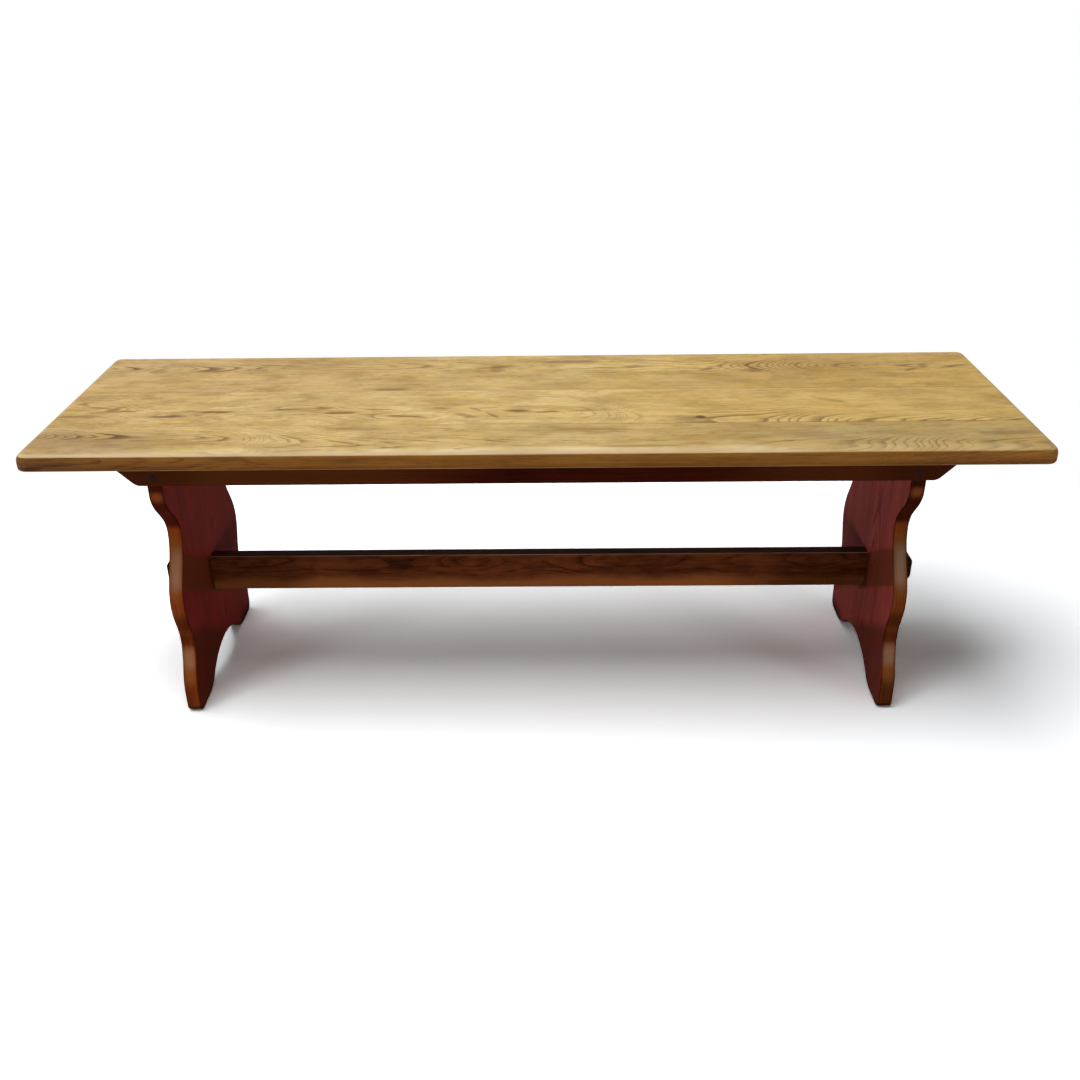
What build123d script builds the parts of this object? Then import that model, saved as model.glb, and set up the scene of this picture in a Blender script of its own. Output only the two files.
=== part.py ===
from build123d import *
import os

os.makedirs("parts", exist_ok=True)

# A long, low trestle bench in oak. Three boards make the top. It lies on two scroll-cut end panels
# and on an apron under each long edge. One stretcher runs through both panels and is wedged outside them.
# Millimetres. The origin is on the floor under the middle. +Z is up, +X is along the bench and -Y is its front.

# Whole bench
overall_height = 395
top_length = 1220
top_depth = 362
top_thickness = 22

# Top boards: the middle one takes what the other two leave. The flat of the top ends where the rim's
# large rounding begins, and has corners of its own.
front_board_width = 87
back_board_width = 153
top_edge_radius = 12
top_under_edge_radius = 3
top_flat_corner_radius = 2

# Aprons: the end overhang is the straight stretch past a panel, and the bevel starts beyond it
apron_height = 37
apron_thickness = 19
apron_inset = 40
apron_end_overhang = 12.5
apron_bevel_run = 38
apron_bevel_radius = 14
apron_edge_radius = 1.5

# End panels: the top's end overhang is measured from their outer faces
top_end_overhang = 137
panel_thickness = 19
panel_setback = 1
panel_edge_radius = 2.2
toe_radius = 12
arch_width = 160
arch_rise = 35

# How far the arch's two corners on the floor are rounded: a share of the foot's width
arch_corner_share = 0.83

# One edge of a panel from the floor up. Each point is a share of the panel's height and a share
# of its half width. The edge stands upright at each of them, and swings over between them.
foot_top_shares = (0.088, 1)
ankle_shares = (0.271, 0.877)
bulge_shares = (0.435, 0.973)
waist_shares = (0.678, 0.725)
ear_shares = (0.864, 1)
swing_share = 0.4

# Stretcher
stretcher_floor_gap = 117
stretcher_width = 52
stretcher_thickness = 18
stretcher_edge_radius = 1.5
tenon_width = 37
tenon_reach = 44
tenon_corner_radius = 9
tenon_clearance = 0.2

# Keys: wedges that stand in the tenons, against the panels' outer faces
key_thickness = 7
key_top_width = 20
key_bottom_width = 12
key_rise = 22
key_drop = 20
key_edge_radius = 1.2
key_clearance = 0.15
key_draw = 2

# Pegs through the aprons into the panels' edges
peg_diameter = 11
peg_height_in_apron = 10
peg_proud = 1.6
peg_bite = 30
peg_end_chamfer = 1
peg_clearance = 0.1

# Cleats in the corner between each panel and the top
cleat_width = 26
cleat_height = 22
cleat_end_gap = 3
cleat_chamfer = 6

# Wood screws through the cleats
screw_diameter = 4.5
screw_head_diameter = 9
screw_head_height = 3
screw_slot_width = 1.2
screw_slot_depth = 1
screw_tip_height = 4
screw_bite_share = 0.62
screw_clearance = 0.1

cut_overrun = 5

# Places worked out from the sizes above
panel_height = overall_height - top_thickness
panel_outer_x = top_length / 2 - top_end_overhang
panel_inner_x = panel_outer_x - panel_thickness
panel_middle_x = panel_outer_x - panel_thickness / 2
apron_face_y = top_depth / 2 - apron_inset
apron_back_y = apron_face_y - apron_thickness
apron_bottom_z = panel_height - apron_height
panel_half_width = apron_face_y - panel_setback
foot_width = panel_half_width - arch_width / 2
arch_corner_radius = foot_width * arch_corner_share
front_seam_y = front_board_width - top_depth / 2
back_seam_y = top_depth / 2 - back_board_width
stretcher_middle_z = stretcher_floor_gap + stretcher_width / 2
tenon_end_x = panel_outer_x + tenon_reach
cleat_half_length = apron_back_y - cleat_end_gap


def block(first, second):
    """A box between any two opposite corners."""
    size = [abs(b - a) for a, b in zip(first, second)]
    middle = [(a + b) / 2 for a, b in zip(first, second)]
    return Pos(*middle) * Box(*size)


def mirrored_pair(piece):
    """The piece at +X and its mirror image at -X."""
    return {"right": piece, "left": mirror(piece, about=Plane.YZ)}


def top_boards():
    """The three boards, cut from one blank so that the rounded rim runs on over the joints."""
    outline = RectangleRounded(top_length, top_depth, top_edge_radius + top_flat_corner_radius)
    blank = Pos(0, 0, panel_height) * extrude(outline, top_thickness)
    blank = fillet(blank.edges().group_by(Axis.Z)[-1], top_edge_radius)
    blank = fillet(blank.edges().group_by(Axis.Z)[0], top_under_edge_radius)
    half_length = top_length / 2 + cut_overrun
    half_depth = top_depth / 2 + cut_overrun
    low_z = panel_height - cut_overrun
    high_z = overall_height + cut_overrun
    spans = {
        "top_board_front": (-half_depth, front_seam_y),
        "top_board_middle": (front_seam_y, back_seam_y),
        "top_board_back": (back_seam_y, half_depth),
    }
    boards = {}
    for name, (low_y, high_y) in spans.items():
        boards[name] = blank & block((-half_length, low_y, low_z), (half_length, high_y, high_z))
    return boards


def panel_side(side):
    """One scrolled edge of the panel seen from its end, from the arch to the top."""
    knot_shares = [foot_top_shares, ankle_shares, bulge_shares, waist_shares, ear_shares]
    knots = [
        Vector(side * panel_half_width * width_share, panel_height * height_share)
        for height_share, width_share in knot_shares
    ]
    floor_corner = Vector(side * panel_half_width, 0)
    top_corner = Vector(side * panel_half_width, panel_height)
    edges = [Line(Vector(side * arch_width / 2, 0), floor_corner), Line(floor_corner, knots[0])]
    for low, high in zip(knots, knots[1:]):
        swing = Vector(0, (high.Y - low.Y) * swing_share)
        edges.append(Bezier(low, low + swing, high - swing, high))
    return edges + [Line(knots[-1], top_corner)]


def panel_outline():
    """The panel seen from its end: scrolled edges, a straight top and an arch between the feet."""
    front = Vector(-panel_half_width, panel_height)
    back = Vector(panel_half_width, panel_height)
    arch_ends = [Vector(-arch_width / 2, 0), Vector(arch_width / 2, 0)]
    arch = ThreePointArc(arch_ends[0], Vector(0, arch_rise), arch_ends[1])
    return make_face(panel_side(-1) + panel_side(1) + [Line(front, back), arch])


def floor_edges(panel):
    """The panel's edges along X that lie on the floor, from front to back."""
    return panel.edges().filter_by(Axis.X).group_by(Axis.Z)[0].sort_by(Axis.Y)


def end_panel():
    """The right-hand panel, with its notches, mortise and holes."""
    sheet = Plane.YZ.offset(panel_inner_x) * panel_outline()
    panel = extrude(sheet, panel_thickness, dir=(1, 0, 0))
    front_toe, *_, back_toe = floor_edges(panel)
    panel = fillet([front_toe, back_toe], toe_radius)
    _, *arch_corners, _ = floor_edges(panel)
    panel = fillet(arch_corners, arch_corner_radius)
    rims = panel.faces().filter_by(Axis.X).edges()
    below_top = [edge for edge in rims if edge.center().Z < panel_height - panel_edge_radius]
    panel = fillet(below_top, panel_edge_radius)
    for side in (-1, 1):
        panel -= block(
            (panel_inner_x - cut_overrun, side * apron_back_y, apron_bottom_z),
            (panel_outer_x + cut_overrun, side * (apron_face_y + cut_overrun), panel_height + cut_overrun),
        )
    half_width = tenon_width / 2 + tenon_clearance
    half_thickness = stretcher_thickness / 2 + tenon_clearance
    panel -= block(
        (panel_inner_x - cut_overrun, -half_thickness, stretcher_middle_z - half_width),
        (panel_outer_x + cut_overrun, half_thickness, stretcher_middle_z + half_width),
    )
    for place in peg_places():
        panel -= place * peg_hole()
    for place in panel_screw_places():
        panel -= place * screw_hole(cleat_width + panel_thickness * screw_bite_share)
    return panel


def apron():
    """The front apron: a rail whose ends are bevelled up to the top."""
    bevel_foot_x = panel_outer_x + apron_end_overhang
    half_length = bevel_foot_x + apron_bevel_run
    corners = [
        (-bevel_foot_x, apron_bottom_z),
        (bevel_foot_x, apron_bottom_z),
        (half_length, panel_height),
        (-half_length, panel_height),
    ]
    outline = make_face(Polyline(*corners, close=True))
    outline = fillet(outline.vertices().group_by(Axis.Y)[0], apron_bevel_radius)
    rail = extrude(Plane.XZ.offset(apron_face_y) * outline, apron_thickness, dir=(0, 1, 0))
    face_edges = rail.faces().sort_by(Axis.Y)[0].edges()
    lower_rim = [edge for edge in face_edges if edge.center().Z < panel_height - apron_edge_radius]
    rail = fillet(lower_rim, apron_edge_radius)
    for place in peg_places():
        rail -= place * peg_hole()
        rail -= mirror(place * peg_hole(), about=Plane.YZ)
    return rail


def stretcher():
    """The stretcher with a rounded through tenon at each end, and a slot in each for its key."""
    shoulder_x = panel_inner_x
    half_thickness = stretcher_thickness / 2
    beam = block(
        (-shoulder_x, -half_thickness, stretcher_floor_gap),
        (shoulder_x, half_thickness, stretcher_floor_gap + stretcher_width),
    )
    beam = fillet(beam.edges().filter_by(Axis.X), stretcher_edge_radius)
    tenons = block(
        (-tenon_end_x, -half_thickness, stretcher_middle_z - tenon_width / 2),
        (tenon_end_x, half_thickness, stretcher_middle_z + tenon_width / 2),
    )
    tenons = fillet(tenons.edges().filter_by(Axis.Y), tenon_corner_radius)
    beam += tenons
    slot = key_slot()
    return beam - slot - mirror(slot, about=Plane.YZ)


def key_width_at(height):
    """Width of the tapered key at a height above the floor."""
    top_z = stretcher_middle_z + tenon_width / 2 + key_rise
    bottom_z = stretcher_middle_z - tenon_width / 2 - key_drop
    climb = (height - bottom_z) / (top_z - bottom_z)
    return key_bottom_width + (key_top_width - key_bottom_width) * climb


def key_sheet(low_z, high_z, inner_x, thickness):
    """A wedge-shaped block between two heights, whose sloping side is the key's outer side."""
    corners = [
        (inner_x, low_z),
        (panel_outer_x + key_width_at(low_z), low_z),
        (panel_outer_x + key_width_at(high_z), high_z),
        (inner_x, high_z),
    ]
    outline = make_face(Polyline(*corners, close=True))
    return extrude(Plane.XZ.offset(-thickness / 2) * outline, thickness, dir=(0, -1, 0))


def key():
    """The right-hand key, flat against the panel and tapered on its outer side."""
    low_z = stretcher_middle_z - tenon_width / 2 - key_drop
    high_z = stretcher_middle_z + tenon_width / 2 + key_rise
    wedge = key_sheet(low_z, high_z, panel_outer_x, key_thickness)
    return fillet(wedge.edges(), key_edge_radius)


def key_slot():
    """The slot for the key. It reaches a little into the panel, so that the key draws the joint tight."""
    low_z = stretcher_middle_z - tenon_width / 2 - cut_overrun
    high_z = stretcher_middle_z + tenon_width / 2 + cut_overrun
    return key_sheet(low_z, high_z, panel_outer_x - key_draw, key_thickness + 2 * key_clearance)


def peg_places():
    """Where the two right-hand pegs start: on the aprons' outer faces, each pointing inwards."""
    height = apron_bottom_z + peg_height_in_apron
    front = Plane(origin=(panel_middle_x, -apron_face_y, height), x_dir=(1, 0, 0), z_dir=(0, 1, 0))
    back = Plane(origin=(panel_middle_x, apron_face_y, height), x_dir=(1, 0, 0), z_dir=(0, -1, 0))
    return [front.location, back.location]


def peg():
    """A turned peg with a domed end that stands a little proud of the apron."""
    radius = peg_diameter / 2
    length = apron_thickness + peg_bite
    shank = Pos(0, 0, length / 2) * Cylinder(radius, length)
    shank = chamfer(shank.edges().group_by(Axis.Z)[-1], peg_end_chamfer)
    dome_radius = (radius**2 + peg_proud**2) / (2 * peg_proud)
    ball = Pos(0, 0, dome_radius - peg_proud) * Sphere(dome_radius)
    return shank + (ball & block((-radius, -radius, -peg_proud), (radius, radius, 0)))


def peg_hole():
    """The bored hole for a peg, with a little room all round."""
    depth = apron_thickness + peg_bite + peg_clearance
    low = -cut_overrun
    return Pos(0, 0, (low + depth) / 2) * Cylinder(peg_diameter / 2 + peg_clearance, depth - low)


def cleat():
    """The right-hand cleat, along the panel's inner face and under the top."""
    bar = block(
        (panel_inner_x - cleat_width, -cleat_half_length, panel_height - cleat_height),
        (panel_inner_x, cleat_half_length, panel_height),
    )
    lower_edges = bar.edges().filter_by(Axis.Y).group_by(Axis.Z)[0]
    bar = chamfer(lower_edges.sort_by(Axis.X)[0], cleat_chamfer)
    for place in top_screw_places():
        bar -= place * screw_hole(cleat_height + top_thickness * screw_bite_share)
    for place in panel_screw_places():
        bar -= place * screw_hole(cleat_width + panel_thickness * screw_bite_share)
    return bar


def top_screw_rows():
    """Along Y: the middle of what the cleat covers of each board."""
    marks = [-cleat_half_length, front_seam_y, back_seam_y, cleat_half_length]
    return [(a + b) / 2 for a, b in zip(marks, marks[1:])]


def top_screw_places():
    """Where the right-hand cleat's upward screws start, at its underside."""
    x = panel_inner_x - cleat_width / 2
    return [Pos(x, y, panel_height - cleat_height) for y in top_screw_rows()]


def panel_screw_places():
    """Where the right-hand cleat's sideways screws start, halfway between the upward ones."""
    rows = top_screw_rows()
    height = panel_height - (cleat_height - cleat_chamfer) / 2
    places = []
    for a, b in zip(rows, rows[1:]):
        start = Plane(origin=(panel_inner_x - cleat_width, (a + b) / 2, height), z_dir=(1, 0, 0))
        places.append(start.location)
    return places


def screw_form(length, room):
    """A countersunk screw's form along +Z from its head's flat face, with room all round."""
    radius = screw_diameter / 2 + room
    head_radius = screw_head_diameter / 2 + room
    head = Pos(0, 0, screw_head_height / 2) * Cone(head_radius, radius, screw_head_height)
    shank_length = length - screw_tip_height + room
    shank = Pos(0, 0, shank_length / 2) * Cylinder(radius, shank_length)
    tip_end = radius / 4
    tip = Pos(0, 0, shank_length + screw_tip_height / 2) * Cone(radius, tip_end, screw_tip_height)
    return head + shank + tip


def screw(length):
    """One screw, with a slot across its head."""
    half_slot = screw_slot_width / 2
    reach = screw_head_diameter
    slot = block((-reach, -half_slot, -cut_overrun), (reach, half_slot, screw_slot_depth))
    return screw_form(length, 0) - slot


def screw_hole(length):
    """The hole for a screw, open at its head."""
    return screw_form(length, screw_clearance)


def fastener_group(places, piece):
    """One copy of the piece at each place and at its mirror image, as separate solids."""
    placed = [place * piece for place in places]
    return Compound(placed + [mirror(copy, about=Plane.YZ) for copy in placed])


def build():
    """Every node of the bench, by name."""
    top_screw_length = cleat_height + top_thickness * screw_bite_share
    panel_screw_length = cleat_width + panel_thickness * screw_bite_share
    nodes = {}
    for name, board in top_boards().items():
        for place in top_screw_places():
            hole = place * screw_hole(top_screw_length)
            board = board - hole - mirror(hole, about=Plane.YZ)
        nodes[name] = board
    for side, panel in mirrored_pair(end_panel()).items():
        nodes[f"end_panel_{side}"] = panel
    nodes["apron_front"] = apron()
    nodes["apron_back"] = mirror(nodes["apron_front"], about=Plane.XZ)
    nodes["stretcher"] = stretcher()
    for side, wedge in mirrored_pair(key()).items():
        nodes[f"key_{side}"] = wedge
    for side, bar in mirrored_pair(cleat()).items():
        nodes[f"cleat_{side}"] = bar
    nodes["apron_pegs"] = fastener_group(peg_places(), peg())
    nodes["top_screws"] = fastener_group(top_screw_places(), screw(top_screw_length))
    nodes["panel_screws"] = fastener_group(panel_screw_places(), screw(panel_screw_length))
    return nodes


for node, shape in build().items():
    export_step(shape, f"parts/{node}.step")
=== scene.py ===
# Long oak trestle bench: its finishes, and the floor, lamps and camera around it
import math

import bpy
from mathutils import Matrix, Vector


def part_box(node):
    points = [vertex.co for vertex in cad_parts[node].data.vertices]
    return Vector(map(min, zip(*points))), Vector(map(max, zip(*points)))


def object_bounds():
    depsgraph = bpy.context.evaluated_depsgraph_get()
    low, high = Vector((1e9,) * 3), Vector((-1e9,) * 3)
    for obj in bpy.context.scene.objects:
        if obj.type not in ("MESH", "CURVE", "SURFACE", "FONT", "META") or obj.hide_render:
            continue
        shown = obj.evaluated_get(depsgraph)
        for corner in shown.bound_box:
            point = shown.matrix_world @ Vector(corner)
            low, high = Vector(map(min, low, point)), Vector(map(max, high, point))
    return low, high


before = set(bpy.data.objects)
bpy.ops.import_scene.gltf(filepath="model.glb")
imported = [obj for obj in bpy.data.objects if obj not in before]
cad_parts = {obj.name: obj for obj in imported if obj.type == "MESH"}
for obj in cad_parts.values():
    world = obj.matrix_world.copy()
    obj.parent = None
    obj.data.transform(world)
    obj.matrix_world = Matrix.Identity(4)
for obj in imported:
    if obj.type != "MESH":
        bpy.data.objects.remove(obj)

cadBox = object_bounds()  # straight after loading, so this is the solids' own box
benchLow, benchHigh = cadBox
halfLength = benchHigh.x
topSurface = benchHigh.z
tiny = 0.001  # two places or values this close count as one
print("frame loaded:", len(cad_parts), "pieces")


# Small helpers for node trees

def addNode(tree, kind, inputs=None, **settings):
    node = tree.nodes.new("ShaderNode" + kind)
    for name, value in settings.items():
        setattr(node, name, value)
    for name, value in (inputs or {}).items():
        if isinstance(value, bpy.types.NodeSocket):
            tree.links.new(value, node.inputs[name])
        else:
            node.inputs[name].default_value = value
    return node


def maths(tree, operation, first, second=0.0, third=0.0, clamp=False):
    values = {0: first, 1: second, 2: third}
    return addNode(tree, "Math", values, operation=operation, use_clamp=clamp).outputs[0]


def less(tree, first, second):
    return maths(tree, "SUBTRACT", first, second)


def unsigned(tree, value):
    return maths(tree, "ABSOLUTE", value)


def plusShare(tree, base, value, share):
    # the base, plus a share of the value
    return maths(tree, "MULTIPLY_ADD", value, share, base)


def product(tree, *shares):
    total = shares[0]
    for share in shares[1:]:
        total = maths(tree, "MULTIPLY", total, share)
    return total


def strongest(tree, *masks):
    best = masks[0]
    for mask in masks[1:]:
        best = maths(tree, "MAXIMUM", best, mask)
    return best


def ease(tree, value, low, high, toLow=0.0, toHigh=1.0):
    # a soft step: toLow below the low value, toHigh above the high one
    inputs = {"Value": value, "From Min": low, "From Max": high, "To Min": toLow, "To Max": toHigh}
    return addNode(tree, "MapRange", inputs, interpolation_type="SMOOTHSTEP").outputs["Result"]


def fade(tree, value, low, high, strength=1.0):
    # the soft step downwards: full strength below the low value, nothing above the high one
    return ease(tree, value, low, high, strength, 0.0)


def between(tree, value, low, lowFull, highFull, high):
    # 1 between the two full values, and 0 outside the outer ones
    return product(tree, ease(tree, value, low, lowFull), fade(tree, value, highFull, high))


def scaledBy(tree, vector, factors):
    return addNode(tree, "VectorMath", {0: vector, 1: factors}, operation="MULTIPLY").outputs[0]


def lengthOf(tree, vector):
    return addNode(tree, "VectorMath", {0: vector}, operation="LENGTH").outputs["Value"]


def ovalDistance(tree, across, deep, reach):
    # 0 at the middle of an oval of this reach, and 1 on its outline
    shares = [maths(tree, "DIVIDE", offset, half) for offset, half in zip((across, deep), reach)]
    return lengthOf(tree, addNode(tree, "CombineXYZ", {0: shares[0], 1: shares[1]}).outputs[0])


def mixColour(tree, share, first, second, blend="MIX"):
    node = addNode(tree, "Mix", data_type="RGBA", blend_type=blend, clamp_factor=True)
    for name, value in (("Factor_Float", share), ("A_Color", first), ("B_Color", second)):
        socket = next(s for s in node.inputs if s.identifier == name)
        if isinstance(value, bpy.types.NodeSocket):
            tree.links.new(value, socket)
        elif name == "Factor_Float":
            socket.default_value = value
        else:
            socket.default_value = (*value[:3], 1)
    return next(s for s in node.outputs if s.identifier == "Result_Color")


def tinted(tree, share, colour, tint):
    # the colour multiplied by a tint, as far as the share says
    return mixColour(tree, share, colour, tint, "MULTIPLY")


def washed(tree, share, colour, wash, cover):
    # a wash that covers the grain only partly
    return mixColour(tree, share, colour, mixColour(tree, cover, colour, wash))


def paint(red, green, blue):
    # a paint chart's 0-255 colour as Blender's own linear one
    def linear(share):
        return share / 12.92 if share <= 0.04045 else ((share + 0.055) / 1.055) ** 2.4
    return tuple(linear(part / 255) for part in (red, green, blue))


# Oak: growth rings round a pith that wanders, with pores, rays and streaks along the grain

oakRings = {
    # noises drawn out along the grain: per metre along it, per metre across it, and detail
    "ripple": (5.0, 22.0, 1.0),
    "shiver": (30.0, 140.0, 2.0),
    "breaks": (15.0, 64.0, 2.0),
    "pores": (55.0, 1500.0, 1.0),
    "rays": (70.0, 420.0, 0.0),
    "broadStreaks": (5.0, 50.0, 3.0),
    "fineStreaks": (12.0, 260.0, 2.0),
    "noiseRoughness": 0.55,
    "noiseMiddle": 0.5,

    "wanderPerMetre": 5.0,
    "wanderStarts": (3.7, 41.3),      # sideways and upwards, so that the two stray apart
    "rippleHeight": 0.0030,
    "shiverHeight": 0.0018,
    "flatSawn": 6.0,                  # how soon the bands fade as the saw cuts across the rings
    "quarterSawn": 0.16,              # what is left of the bands there
    "seasonsPerRing": 0.4,
    "seasonsSpread": 1.6,             # good years and lean ones
    "springLeast": 0.3,               # the part of a ring that is spring wood
    "springMore": 0.35,
    "springOnset": 0.90,
    "breakEdge": (0.44, 0.58),
    "faintestBand": 0.5,
    "scatteredPores": (0.66, 0.76),
    "scatteredStrength": 0.4,
    "crowdedPores": (0.48, 0.62),     # in the spring wood
    "rayEdge": (0.74, 0.84),
    "broadShare": 0.65,
    "fineShare": 0.35,
    "streakEdge": (0.36, 0.64),
    "bandFeel": 0.35,                 # how deep a band feels beside a pore
}

# what the oak needs to know, and the name of each piece's own value for it
oakInputs = {
    "Pith across": "pithAcross",
    "Pith height": "pithHeight",
    "Ring width": "ringWidth",
    "Wander": "wander",
    "Gaps": "gaps",
    "Seed": "seed",
}
oakOutputs = ("Band", "Pores", "Rays", "Streaks", "Ring tone")


def drawnOut(tree, given, name):
    # one of the noises along the grain
    along, across, detail = oakRings[name]
    inputs = {
        "Vector": scaledBy(tree, given["Place"], (along, across, across)),
        "W": given["Seed"],
        "Scale": 1.0,
        "Detail": detail,
        "Roughness": oakRings["noiseRoughness"],
    }
    return addNode(tree, "TexNoise", inputs, noise_dimensions="4D").outputs["Fac"]


def lineNoise(tree, along):
    inputs = {"W": along, "Scale": 1.0, "Detail": 1.0}
    return addNode(tree, "TexNoise", inputs, noise_dimensions="1D").outputs["Fac"]


def fromPith(tree, given):
    # how far a point is from the pith, and how squarely its surface faces the pith
    axes = addNode(tree, "SeparateXYZ", {0: given["Place"]}).outputs
    offsets = []
    for axis, pith, start in zip("YZ", ("Pith across", "Pith height"), oakRings["wanderStarts"]):
        along = plusShare(tree, given["Seed"], axes["X"], oakRings["wanderPerMetre"])
        noise = lineNoise(tree, maths(tree, "ADD", along, start))
        strayed = product(tree, less(tree, noise, oakRings["noiseMiddle"]), given["Wander"])
        offsets.append(less(tree, less(tree, axes[axis], given[pith]), strayed))
    spoke = addNode(tree, "CombineXYZ", {1: offsets[0], 2: offsets[1]}).outputs[0]
    radius = lengthOf(tree, spoke)
    outward = addNode(tree, "VectorMath", {0: spoke}, operation="NORMALIZE").outputs[0]
    facing = {0: outward, 1: given["Facing"]}
    square = addNode(tree, "VectorMath", facing, operation="DOT_PRODUCT").outputs["Value"]
    flat = maths(tree, "POWER", unsigned(tree, square), oakRings["flatSawn"])
    for name in ("ripple", "shiver"):
        noise = less(tree, drawnOut(tree, given, name), oakRings["noiseMiddle"])
        radius = plusShare(tree, radius, noise, oakRings[name + "Height"])
    return radius, flat


def ringsAt(tree, given, radius):
    # the spring wood at this radius, and a chance number for each ring
    rings = maths(tree, "DIVIDE", radius, given["Ring width"])
    seasons = lineNoise(tree, plusShare(tree, given["Seed"], rings, oakRings["seasonsPerRing"]))
    rings = plusShare(tree, rings, seasons, oakRings["seasonsSpread"])
    part = maths(tree, "FRACT", rings)
    number = maths(tree, "ADD", maths(tree, "FLOOR", rings), given["Seed"])
    chance = addNode(tree, "TexWhiteNoise", {"W": number}, noise_dimensions="1D").outputs["Value"]
    fadeEnd = plusShare(tree, oakRings["springLeast"], chance, oakRings["springMore"])
    early = fade(tree, part, 0.0, fadeEnd)  # spring wood fades outwards
    onset = ease(tree, part, oakRings["springOnset"], 1.0)
    return strongest(tree, early, onset), chance


def bandsOf(tree, given, springWood, chance, flat):
    # the dark bands: broken here and there, and not all as strong
    broken = fade(tree, drawnOut(tree, given, "breaks"), *oakRings["breakEdge"])
    whole = less(tree, 1.0, product(tree, broken, given["Gaps"]))
    faintest = oakRings["faintestBand"]
    strength = plusShare(tree, faintest, chance, 1.0 - faintest)
    sawn = ease(tree, flat, 0.0, 1.0, oakRings["quarterSawn"], 1.0)
    return product(tree, springWood, whole, strength, sawn)


def poresOf(tree, given, springWood):
    noise = drawnOut(tree, given, "pores")
    scattered = ease(tree, noise, *oakRings["scatteredPores"])
    crowded = product(tree, ease(tree, noise, *oakRings["crowdedPores"]), springWood)
    return strongest(tree, product(tree, scattered, oakRings["scatteredStrength"]), crowded)


def streaksOf(tree, given):
    broad = product(tree, drawnOut(tree, given, "broadStreaks"), oakRings["broadShare"])
    streaks = plusShare(tree, broad, drawnOut(tree, given, "fineStreaks"), oakRings["fineShare"])
    return ease(tree, streaks, *oakRings["streakEdge"])


def oakGroup():
    tree = bpy.data.node_groups.new("oakRings", "ShaderNodeTree")
    for name in ("Place", "Facing"):
        tree.interface.new_socket(name, in_out="INPUT", socket_type="NodeSocketVector")
    for name in oakInputs:
        tree.interface.new_socket(name, in_out="INPUT", socket_type="NodeSocketFloat")
    for name in oakOutputs:
        tree.interface.new_socket(name, in_out="OUTPUT", socket_type="NodeSocketFloat")
    given = tree.nodes.new("NodeGroupInput").outputs
    radius, flat = fromPith(tree, given)
    springWood, chance = ringsAt(tree, given, radius)
    results = (
        bandsOf(tree, given, springWood, chance, flat),
        poresOf(tree, given, springWood),
        ease(tree, drawnOut(tree, given, "rays"), *oakRings["rayEdge"]),
        streaksOf(tree, given),
        chance,
    )
    ends = tree.nodes.new("NodeGroupOutput").inputs
    for name, socket in zip(oakOutputs, results):
        tree.links.new(socket, ends[name])
    return tree


oak = oakGroup()


def alongBoard(tree, along, stations, reach):
    # a value given at a few stations along a board, smooth between them
    values = [value for _, value in stations]
    low = min(values)
    spread = max(max(values) - low, tiny)
    ends = {"Value": along, "From Min": -reach, "From Max": reach}
    share = addNode(tree, "MapRange", ends).outputs["Result"]
    node = addNode(tree, "FloatCurve", {"Value": share})
    curve = node.mapping.curves[0]
    while len(curve.points) < len(stations):
        curve.points.new(0.5, 0.5)
    for point, (place, value) in zip(curve.points, stations):
        point.location = ((place + reach) / (2 * reach), (value - low) / spread)
    node.mapping.update()
    return plusShare(tree, low, node.outputs["Value"], spread)


def turnedBy(tree, vector, turn, kind):
    return addNode(tree, "Mapping", {"Vector": vector, "Rotation": turn}, vector_type=kind).outputs[0]


def grainOf(tree, look, coordinates):
    # the oak of one piece: which way it is turned, where its pith runs, how wide its rings are
    turn = look.get("turn", (0, 0, 0))
    place = turnedBy(tree, coordinates["Object"], turn, "POINT")
    facing = turnedBy(tree, coordinates["Normal"], turn, "VECTOR")
    group = tree.nodes.new("ShaderNodeGroup")
    group.node_tree = oak
    tree.links.new(place, group.inputs["Place"])
    tree.links.new(facing, group.inputs["Facing"])
    along = addNode(tree, "SeparateXYZ", {0: place}).outputs["X"]
    for name, key in oakInputs.items():
        value = look[key]
        if isinstance(value, list):
            tree.links.new(alongBoard(tree, along, value, halfLength), group.inputs[name])
        else:
            group.inputs[name].default_value = value
    return group.outputs


def newMaterial(name):
    material = bpy.data.materials.new(name)
    material.use_nodes = True
    tree = material.node_tree
    tree.nodes.clear()
    shader = addNode(tree, "BsdfPrincipled")
    addNode(tree, "OutputMaterial", {"Surface": shader.outputs[0]})
    return material, tree, shader


def placeAndFacing(tree):
    # texture coordinates, with their place and their surface's direction split into x, y and z
    coordinates = addNode(tree, "TexCoord").outputs
    spot = addNode(tree, "SeparateXYZ", {0: coordinates["Object"]}).outputs
    facing = addNode(tree, "SeparateXYZ", {0: coordinates["Normal"]}).outputs
    return coordinates, spot, facing


def oakColour(tree, grain, stain):
    # ground and streaks, then ring tone, bands, rays and pores laid over each other
    colour = mixColour(tree, grain["Streaks"], stain["deep"], stain["light"])
    layers = (
        ("Ring tone", "ringTone", "deep"),
        ("Band", "bandStrength", "band"),
        ("Rays", "rayStrength", "band"),
        ("Pores", "poreStrength", "pore"),
    )
    for part, strength, layer in layers:
        share = product(tree, grain[part], stain[strength])
        colour = mixColour(tree, share, colour, stain[layer])
    return colour


def feltAs(tree, shader, height, feel, depth):
    # a relief in the surface, as strong as the feel says
    bump = addNode(tree, "Bump", {"Height": height, "Strength": feel, "Distance": depth})
    tree.links.new(bump.outputs["Normal"], shader.inputs["Normal"])


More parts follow.
